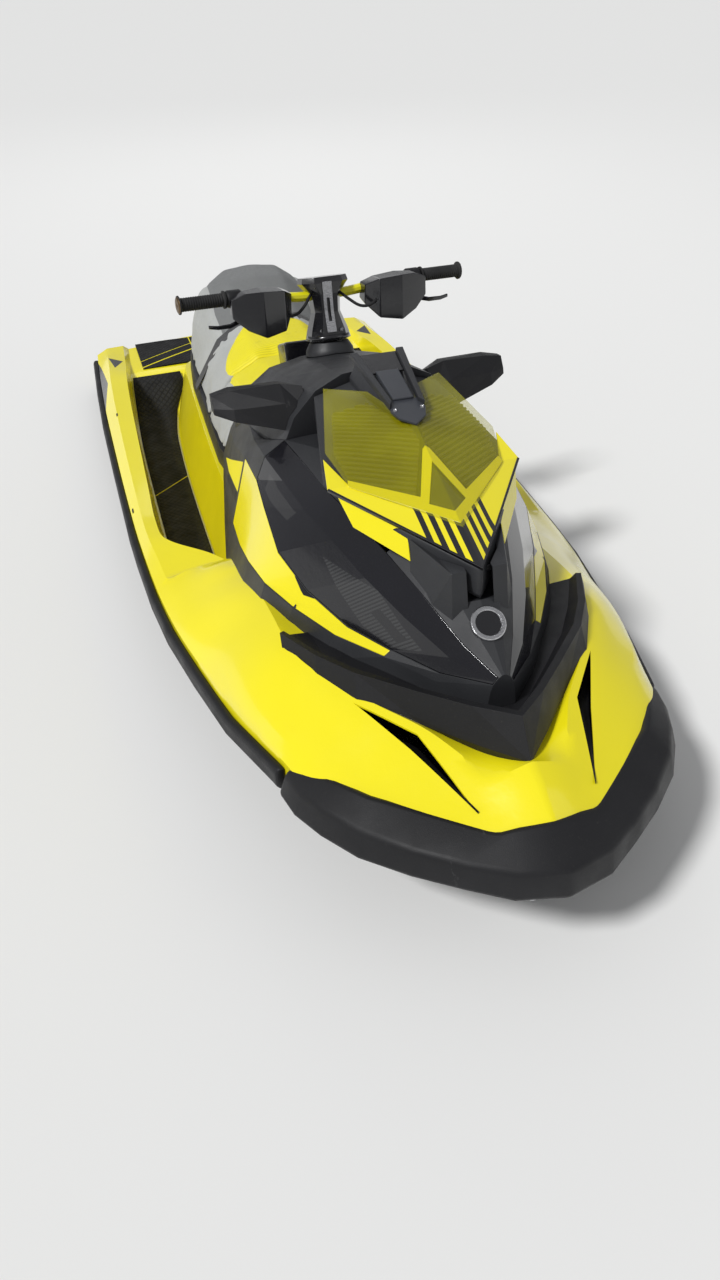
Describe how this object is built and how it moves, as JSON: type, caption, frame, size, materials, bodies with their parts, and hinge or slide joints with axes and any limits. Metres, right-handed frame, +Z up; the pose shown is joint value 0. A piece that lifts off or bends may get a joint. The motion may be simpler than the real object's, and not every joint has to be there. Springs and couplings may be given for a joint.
{
  "type": "personal watercraft",
  "caption": "Sit-on personal watercraft with deep-vee hull, handlebar steering, jet drive, opening storage hood, lifting seat and folding reverse gate",
  "frame": {"origin": "on the centreline at the waterline, half way along the hull's length", "axes": "+Z up, +Y aft along the craft (the bow points to -Y), +X to port"},
  "size_m": [1.2406, 3.2794, 1.1381],
  "materials": {
    "yellow": "glossy acid yellow moulding",
    "hull_black": "black gelcoat",
    "black_plastic": "satin black moulded plastic",
    "gloss_black": "gloss black plastic",
    "dark_grey": "satin dark grey plastic",
    "visor": "clear yellow-tinted plastic",
    "metal": "bare alloy",
    "engine": "grey paint",
    "rubber": "black rubber and foam",
    "mirror": "mirror glass",
    "seat_yellow": "yellow vinyl",
    "seat_grey": "grey vinyl",
    "strap": "dark woven strap",
    "bar_yellow": "yellow painted tube"
  },
  "bodies": {
    "root": {"hull": "hull_black", "deck": "yellow", "bow_bumper": "black_plastic", "rub_rail_port": "black_plastic", "rub_rail_starboard": "black_plastic", "nose_tray": "black_plastic", "cowl_core": "dark_grey", "side_panel_port": "gloss_black", "side_panel_starboard": "gloss_black", "cheek_panel_port": "yellow", "cheek_panel_starboard": "yellow", "lower_panel_port": "dark_grey", "lower_panel_starboard": "dark_grey", "console": "dark_grey", "badge_disc": "metal", "engine_block": "engine", "gauge": "gloss_black", "pump_housing": "metal", "ride_plate": "dark_grey", "intake_grate": "metal", "sponson_port": "black_plastic", "sponson_starboard": "black_plastic", "bow_eye": "metal", "hood_hinge": "black_plastic", "steering_boot": "dark_grey", "mirror_port": "black_plastic", "mirror_starboard": "black_plastic", "mirror_glass_port": "mirror", "mirror_glass_starboard": "mirror", "footwell_mat_port": "rubber", "footwell_mat_starboard": "rubber", "rear_mat": "rubber"},
    "hood": {"hood_base": "dark_grey", "visor": "visor", "hood_panel": "yellow", "hood_latch": "dark_grey"},
    "seat": {"seat_base": "dark_grey", "seat_front": "seat_yellow", "seat_rear": "seat_grey", "seat_strap": "strap"},
    "steering": {"steering_column": "gloss_black", "handlebar": "bar_yellow", "grip_port": "rubber", "grip_starboard": "rubber", "hand_guard_port": "gloss_black", "hand_guard_starboard": "gloss_black", "lever_port": "gloss_black", "lever_starboard": "gloss_black"},
    "nozzle": {"nozzle": "black_plastic"},
    "reverse_gate": {"reverse_gate": "black_plastic"},
    "impeller": {"impeller": "metal"}
  },
  "joints": [
    {"name": "steering", "type": "hinge", "parent": "root", "child": "steering", "pos_m": [0, -0.095, 0.67], "axis": [0, 0.2883, 0.9575], "range_deg": [-30, 14]},
    {"name": "hood_lift", "type": "hinge", "parent": "root", "child": "hood", "pos_m": [0, -1.13, 0.635], "axis": [1, 0, 0], "range_deg": [0, 60]},
    {"name": "seat_lift", "type": "hinge", "parent": "root", "child": "seat", "pos_m": [0, 0.13, 0.53], "axis": [1, 0, 0], "range_deg": [0, 40]},
    {"name": "nozzle_turn", "type": "hinge", "parent": "root", "child": "nozzle", "pos_m": [0, 1.505, -0.155], "axis": [0, 0, 1], "range_deg": [-12, 25.6]},
    {"name": "gate_swing", "type": "hinge", "parent": "root", "child": "reverse_gate", "pos_m": [0, 1.505, -0.155], "axis": [1, 0, 0], "range_deg": [-75, 0]},
    {"name": "impeller_spin", "type": "hinge", "parent": "root", "child": "impeller", "pos_m": [0, 1.1, -0.155], "axis": [0, 1, 0], "continuous": true}
  ],
  "couplings": [
    {"joint": "nozzle_turn", "follows": "steering", "ratio": -0.85}
  ]
}
